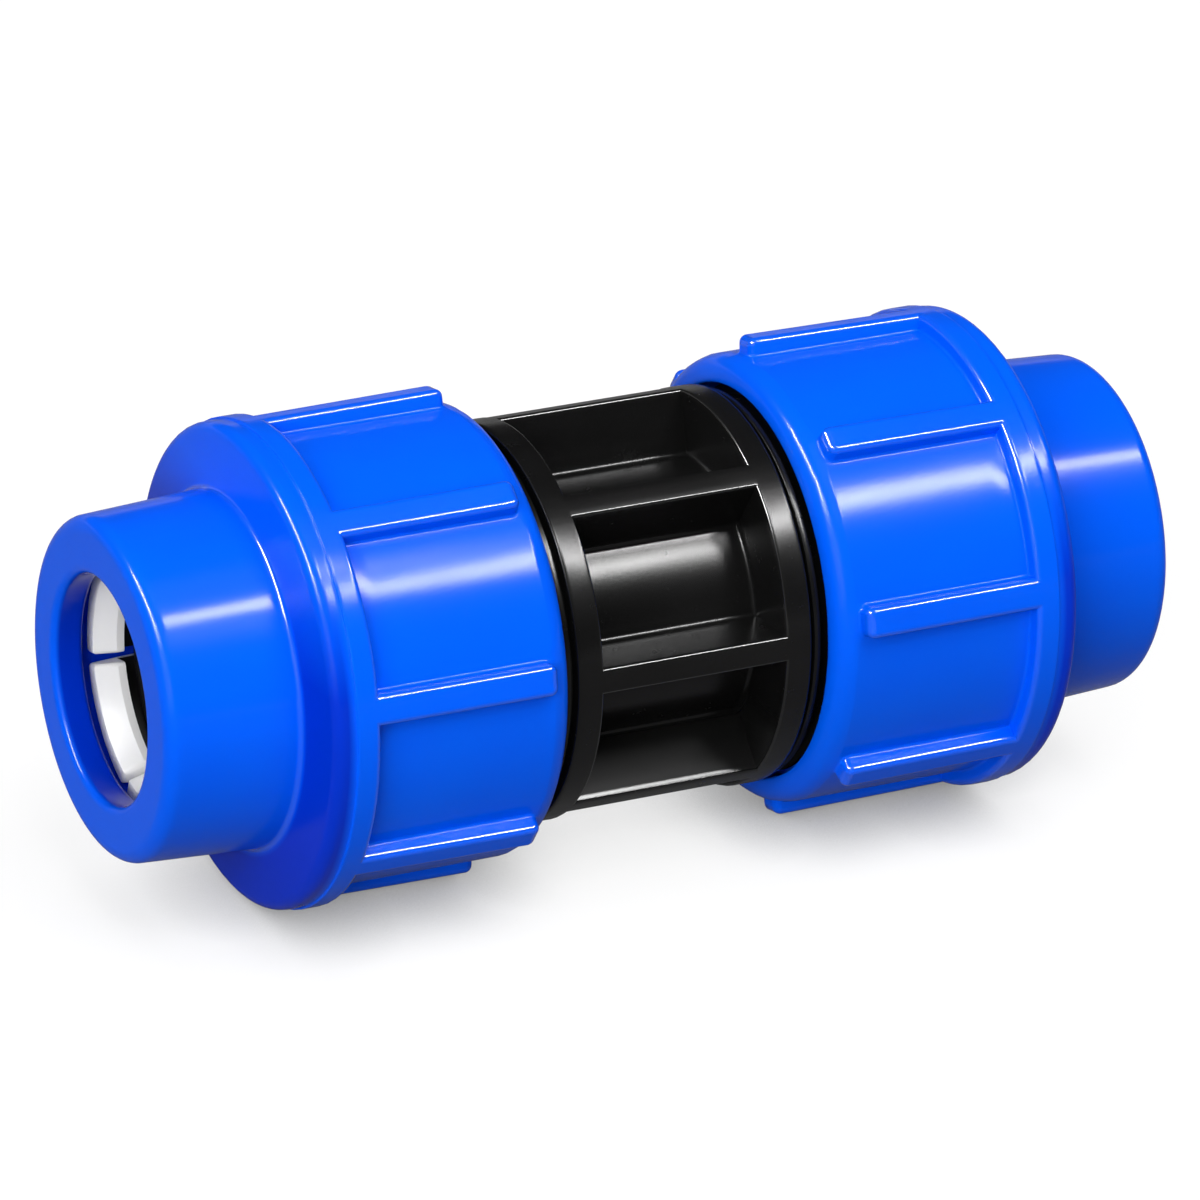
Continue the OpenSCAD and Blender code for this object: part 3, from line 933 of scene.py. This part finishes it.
def floor_finish(shade, glow, painted_shadow_depth=0.85, reach=10.0 * MM, in_gloss=0.1):
    """A matt pale floor that the camera sees lifted to white by a glow, and that keeps the shadow.

    The glow fades by closeness where something stands within reach, which paints a contact shadow, and
    counts less in gloss.
    """
    material = bpy.data.materials.new("studio_floor")
    material.use_nodes = True
    graph = Graph(material.node_tree)
    place = graph.add("ShaderNodeTexCoord", None, None, "Object")
    cloud = graph.add("ShaderNodeTexNoise", None, {"Vector": place, "Scale": 3.0, "Detail": 2.0}, "Fac")
    seen = seen_directly(graph, in_gloss)
    tint = graph.mix(cloud, (*shade, 1.0), (*[c * 0.995 for c in shade], 1.0))
    matt = graph.add("ShaderNodeBsdfDiffuse", None, {"Color": tint})
    open_sky = graph.add("ShaderNodeAmbientOcclusion", {"samples": 8}, {"Distance": reach}, "AO")
    closed = 1.0 - open_sky
    # Painted contact shadow: the glow fades close to the coupling
    lifted = seen * (1.0 - closed * closed * painted_shadow_depth) * glow
    light = graph.add("ShaderNodeEmission", None, {"Color": (1.0, 1.0, 1.0, 1.0), "Strength": lifted})
    both = graph.add("ShaderNodeAddShader", None, {0: matt, 1: light})
    graph.add("ShaderNodeOutputMaterial", None, {"Surface": both})
    return material


def seen_directly(graph, in_gloss=1.0):
    """1 for rays from the camera and through glass, and in_gloss for those that gloss mirrors."""
    rays = [graph.add("ShaderNodeLightPath", None, None, kind)
            for kind in ("Is Camera Ray", "Is Glossy Ray", "Is Transmission Ray")]
    return (rays[0] + rays[1] * in_gloss + rays[2]).clamped()


def finish(name):
    return bpy.data.materials[name]


# Operators

class COUPLING_OT_finishes(bpy.types.Operator):
    """Makes the materials"""

    bl_idname = "coupling.finishes"
    bl_label = "Finishes"

    def execute(self, context):
        c = context.scene.coupling.colours
        # The nuts get painted shade low on the dome and inside the mouth
        painted_shade = c.nut_recess, nut_recess(context.scene.coupling.nut)
        plastic("nut_plastic", c.nut, c.nut_deep, roughness=0.165, spread=0.06, grain=0.12, specular=0.1,
                scuff=0.1, painted_shade=painted_shade)
        plastic("body_plastic", c.body, c.body_worn, roughness=0.25, spread=0.1, grain=0.35, specular=0.225,
                scuff=0.12, coat=0.6, dull=(0.4, pocket_walls(context.scene.coupling.body)))
        # The bushes' black paints shade on the wall of the ring's pocket
        plastic("ring_plastic", c.ring, c.ring_warm, roughness=0.38, spread=0.1, grain=0.2,
                painted_shade=(c.bush, ring_painted_shade(context.scene.coupling.ring)))
        plastic("bush_plastic", c.bush, c.body_worn, roughness=0.4, spread=0.12, grain=0.3)
        plastic("seal_rubber", c.seal, c.seal, roughness=0.5, spread=0.1, grain=0.5)
        return {"FINISHED"}


class COUPLING_OT_body(bpy.types.Operator):
    """Builds the black body with its ribbed waist"""

    bl_idname = "coupling.body"
    bl_label = "Body"

    def execute(self, context):
        body = context.scene.coupling.body
        piece = new_piece("body_moulding", body_sector(body))
        run_tree(piece, bpy.data.node_groups["round_the_axis"], {
            "Count": body.ribs,
            "First Turn": body.rib_turn,
            "Finish": finish("body_plastic"),
        })
        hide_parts("body")
        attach(piece, "root")
        return {"FINISHED"}


class COUPLING_OT_nuts(bpy.types.Operator):
    """Builds the two blue nuts"""

    bl_idname = "coupling.nuts"
    bl_label = "Nuts"

    def execute(self, context):
        nut = context.scene.coupling.nut
        for name, side in SIDES.items():
            piece = new_piece(name + "_nut_moulding", nut_sector(nut, side))
            run_tree(piece, bpy.data.node_groups["round_the_axis"], {
                "Count": nut.ribs,
                "First Turn": nut.rib_turn,
                "Finish": finish("nut_plastic"),
            })
            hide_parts(name + "_nut")
            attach(piece, name + "_nut")
        return {"FINISHED"}


class COUPLING_OT_threads(bpy.types.Operator):
    """Winds the screw threads on the spigots and inside the nuts"""

    bl_idname = "coupling.threads"
    bl_label = "Threads"

    def execute(self, context):
        settings = context.scene.coupling
        thread = settings.thread
        kinds = (
            ("thread", settings.body.spigot_radius, 1, thread.male_start, thread.male_end, "body", 0.0),
            ("nut_thread", settings.nut.bore, -1, thread.female_start, thread.female_end, "nut", 0.5),
        )
        for name, side in SIDES.items():
            for kind, radius, outward, start, end, slot, phase in kinds:
                piece = new_piece(name + "_" + kind, bpy.data.meshes.new(kind))
                begun = (start / thread.pitch + phase) * math.tau * side
                run_tree(piece, bpy.data.node_groups["screw_thread"], {
                    "Start": start,
                    "Turns": (end - start) / thread.pitch,
                    "Pitch": thread.pitch,
                    "Root Radius": radius,
                    "Outward": float(outward),
                    "Height": thread.height,
                    "Foot": thread.foot,
                    "Crest": thread.crest,
                    "Bevel": thread.bevel,
                    "First Turn": begun,
                    "Side": float(side),
                    "Finish": finish(slot + "_plastic"),
                })
                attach(piece, "root" if slot == "body" else name + "_nut")
        return {"FINISHED"}


class COUPLING_OT_rings(bpy.types.Operator):
    """Builds the split grip rings"""

    bl_idname = "coupling.rings"
    bl_label = "Grip Rings"

    def execute(self, context):
        ring = context.scene.coupling.ring
        for name, side in SIDES.items():
            piece = new_piece(name + "_jaw_ring", ring_shape(ring, side))
            piece.data.materials.append(finish("ring_plastic"))
            bevel = piece.modifiers.new("edges", "BEVEL")
            bevel.width = ring.edge
            bevel.segments = 5
            bevel.limit_method = "ANGLE"
            bevel.angle_limit = math.radians(35)
            settle(piece, crease_degrees=20.0)
            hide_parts(name + "_grip_ring")
            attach(piece, name + "_grip")
        return {"FINISHED"}


class COUPLING_OT_bushes(bpy.types.Operator):
    """Builds the black bushes behind the grip rings"""

    bl_idname = "coupling.bushes"
    bl_label = "Bushes"

    def execute(self, context):
        bush = context.scene.coupling.bush
        for name, side in SIDES.items():
            piece = new_piece(name + "_bush_moulding", bush_sector(bush, side))
            run_tree(piece, bpy.data.node_groups["round_the_axis"], {
                "Count": BUSH_SECTORS,
                "First Turn": 0.0,
                "Finish": finish("bush_plastic"),
            })
            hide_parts(name + "_bush")
            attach(piece, "root")
        return {"FINISHED"}


class COUPLING_OT_seals(bpy.types.Operator):
    """Gives the seals of the CAD model their finish"""

    bl_idname = "coupling.seals"
    bl_label = "Seals"

    def execute(self, context):
        for node, piece in frame["nodes"].items():
            if node.endswith("_o_ring"):
                for slot in piece.material_slots:
                    slot.material = finish("seal_rubber")
        return {"FINISHED"}


class COUPLING_OT_stage(bpy.types.Operator):
    """Lays the floor, hangs the lamps and places the camera"""

    bl_idname = "coupling.stage"
    bl_label = "Stage"

    def execute(self, context):
        settings = context.scene.coupling
        self.floor(settings)
        self.lamps()
        self.world(context.scene, settings.studio.ambient)
        self.camera(context.scene, settings.studio)
        context.scene.view_settings.view_transform = "Standard"
        return {"FINISHED"}

    def floor(self, settings):
        shape = bmesh.new()
        bmesh.ops.create_grid(shape, x_segments=8, y_segments=8, size=FLOOR_HALF)
        bmesh.ops.translate(shape, verts=shape.verts, vec=(0.0, 0.0, -settings.nut.collar_radius))
        mesh = bpy.data.meshes.new("studio_floor")
        shape.to_mesh(mesh)
        shape.free()
        mesh.materials.append(floor_finish(settings.colours.floor, settings.studio.floor_glow))
        new_piece("studio_floor", mesh)

    def lamps(self):
        """Hangs each lamp between its two ends, facing the coupling."""
        for name, one, other, distance, height, radiance, use in LAMPS:
            ends = [
                Vector((x, -math.sqrt(1 - x * x) * math.sin(math.radians(turn)),
                        math.sqrt(1 - x * x) * math.cos(math.radians(turn))))
                for x, turn in (one, other)
            ]
            back = (ends[0] + ends[1]).normalized()
            along = (ends[1] - ends[0]).normalized()
            data = bpy.data.lights.new(name, "AREA")
            data.shape = "RECTANGLE"
            data.size = (ends[1] - ends[0]).length * distance
            data.size_y = height
            data.energy = radiance * math.pi * data.size * height
            lamp = bpy.data.objects.new(name, data)
            bpy.context.scene.collection.objects.link(lamp)
            axes = Matrix((along, back.cross(along), back)).transposed()
            lamp.matrix_world = Matrix.Translation(back * distance) @ axes.to_4x4()
            lamp.visible_diffuse = use == "body"
            lamp.visible_glossy = use == "gloss"

    def world(self, scene, ambient):
        """A white backdrop for the camera, even light for the coupling, and a dark ceiling in its gloss."""
        world = bpy.data.worlds.new("studio")
        world.use_nodes = True
        scene.world = world
        graph = Graph(world.node_tree)
        direction = graph.add("ShaderNodeTexCoord", None, None, "Generated")
        height = graph.add("ShaderNodeSeparateXYZ", None, {"Vector": direction}, "Z")
        glossy = graph.add("ShaderNodeLightPath", None, None, "Is Glossy Ray")
        seen = seen_directly(graph)
        horizon = 12.0
        darkness = 0.97
        ceiling = (height * horizon).clamped() * glossy
        strength = ambient + (1.0 - ambient) * seen - ceiling * darkness
        backdrop = graph.add("ShaderNodeBackground", None,
                             {"Color": (1.0, 1.0, 1.0, 1.0), "Strength": strength})
        graph.add("ShaderNodeOutputWorld", None, {"Surface": backdrop})

    def camera(self, scene, studio):
        data = bpy.data.cameras.new("camera")
        data.lens = studio.lens
        data.sensor_width = 36.0
        data.clip_start = 0.05
        data.clip_end = 40.0
        camera = bpy.data.objects.new("camera", data)
        scene.collection.objects.link(camera)
        a, e = studio.azimuth, studio.elevation
        back = Vector((math.sin(a) * math.cos(e), -math.cos(a) * math.cos(e), math.sin(e)))
        turned = back.to_track_quat("Z", "Y").to_matrix() @ Matrix.Rotation(studio.roll, 3, "Z")
        camera.matrix_world = turned.to_4x4()
        camera.location = turned @ Vector((-studio.shift_right, -studio.shift_up, studio.distance))
        scene.camera = camera


class COUPLING_PT_panel(bpy.types.Panel):
    """The coupling's sizes and its operators"""

    bl_idname = "COUPLING_PT_panel"
    bl_label = "Compression Coupling"
    bl_space_type = "VIEW_3D"
    bl_region_type = "UI"
    bl_category = "Coupling"

    def draw(self, context):
        settings = context.scene.coupling
        for operator in OPERATORS:
            self.layout.operator(operator.bl_idname)
        for name in CouplingSettings.__annotations__:
            group = getattr(settings, name)
            box = self.layout.box()
            box.label(text=name.title())
            for key in group.__annotations__:
                box.prop(group, key)


GROUPS = (NutSizes, BodySizes, ThreadSizes, RingSizes, BushSizes, Colours, StudioSizes, CouplingSettings)
OPERATORS = (
    COUPLING_OT_finishes,
    COUPLING_OT_body,
    COUPLING_OT_nuts,
    COUPLING_OT_threads,
    COUPLING_OT_rings,
    COUPLING_OT_bushes,
    COUPLING_OT_seals,
    COUPLING_OT_stage,
)


def register():
    for cls in (*GROUPS, *OPERATORS, COUPLING_PT_panel):
        bpy.utils.register_class(cls)
    bpy.types.Scene.coupling = PointerProperty(type=CouplingSettings)


def unregister():
    del bpy.types.Scene.coupling
    for cls in reversed((*GROUPS, *OPERATORS, COUPLING_PT_panel)):
        bpy.utils.unregister_class(cls)


def main():
    register()
    round_the_axis()
    screw_thread()
    bpy.ops.coupling.finishes()
    bpy.ops.coupling.body()
    bpy.ops.coupling.nuts()
    bpy.ops.coupling.threads()
    bpy.ops.coupling.rings()
    bpy.ops.coupling.bushes()
    bpy.ops.coupling.seals()
    bpy.ops.coupling.stage()


if __name__ == "__main__":
    main()
